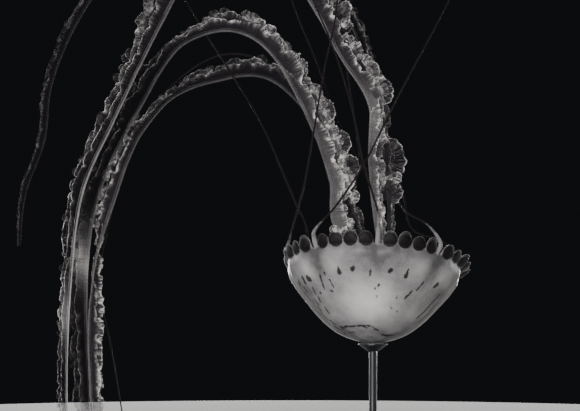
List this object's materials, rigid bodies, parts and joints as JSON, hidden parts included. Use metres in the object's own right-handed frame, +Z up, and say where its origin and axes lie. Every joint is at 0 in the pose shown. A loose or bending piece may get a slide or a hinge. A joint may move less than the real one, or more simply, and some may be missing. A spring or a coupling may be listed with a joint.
{
  "type": "purple-striped jellyfish",
  "caption": "Still life-size jellyfish swimming bell down, frilled mouth arms arching up and over to one side, slim trailing tentacles, held by a rod on a flat base.",
  "frame": {"origin": "centre of the rod's foot, on the underside of the stand's base", "axes": "+Z up; the view from the front looks along +Y, with +X to the right; the mouth arms arch over towards -X"},
  "size_m": [0.4686, 0.1835, 0.5782],
  "materials": {
    "bell_jelly": "moist milky jelly, smooth, with short dark dashes along the rays",
    "lappet": "moist, dark plum with a thin clear rim",
    "oral_arm": "moist thin veil, crinkled and denser at the frilled edge",
    "tentacle": "moist, dark plum, paler at the thick root",
    "stand_steel": "fine satin black powder coat"
  },
  "bodies": {
    "root": {"bell": "bell_jelly", "margin_1": "lappet", "margin_2": "lappet", "margin_3": "lappet", "margin_4": "lappet", "margin_5": "lappet", "margin_6": "lappet", "margin_7": "lappet", "margin_8": "lappet", "mouth_column": "oral_arm", "arm_1_length_1": "oral_arm", "arm_1_length_2": "oral_arm", "arm_1_length_3": "oral_arm", "arm_1_length_4": "oral_arm", "arm_1_length_5": "oral_arm", "arm_2_length_1": "oral_arm", "arm_2_length_2": "oral_arm", "arm_2_length_3": "oral_arm", "arm_2_length_4": "oral_arm", "arm_2_length_5": "oral_arm", "arm_3_length_1": "oral_arm", "arm_3_length_2": "oral_arm", "arm_3_length_3": "oral_arm", "arm_3_length_4": "oral_arm", "arm_3_length_5": "oral_arm", "arm_4_length_1": "oral_arm", "arm_4_length_2": "oral_arm", "arm_4_length_3": "oral_arm", "arm_4_length_4": "oral_arm", "arm_4_length_5": "oral_arm", "tentacle_1_root": "tentacle", "tentacle_1_shaft": "tentacle", "tentacle_1_tip": "tentacle", "tentacle_2_root": "tentacle", "tentacle_2_shaft": "tentacle", "tentacle_2_tip": "tentacle", "tentacle_3_root": "tentacle", "tentacle_3_shaft": "tentacle", "tentacle_3_tip": "tentacle", "tentacle_4_root": "tentacle", "tentacle_4_shaft": "tentacle", "tentacle_4_tip": "tentacle", "tentacle_5_root": "tentacle", "tentacle_5_shaft": "tentacle", "tentacle_5_tip": "tentacle", "tentacle_6_root": "tentacle", "tentacle_6_shaft": "tentacle", "tentacle_6_tip": "tentacle", "tentacle_7_root": "tentacle", "tentacle_7_shaft": "tentacle", "tentacle_7_tip": "tentacle", "tentacle_8_root": "tentacle", "tentacle_8_shaft": "tentacle", "tentacle_8_tip": "tentacle", "stand_base": "stand_steel", "stand_rod": "stand_steel", "stand_cup": "stand_steel"}
  },
  "joints": []
}
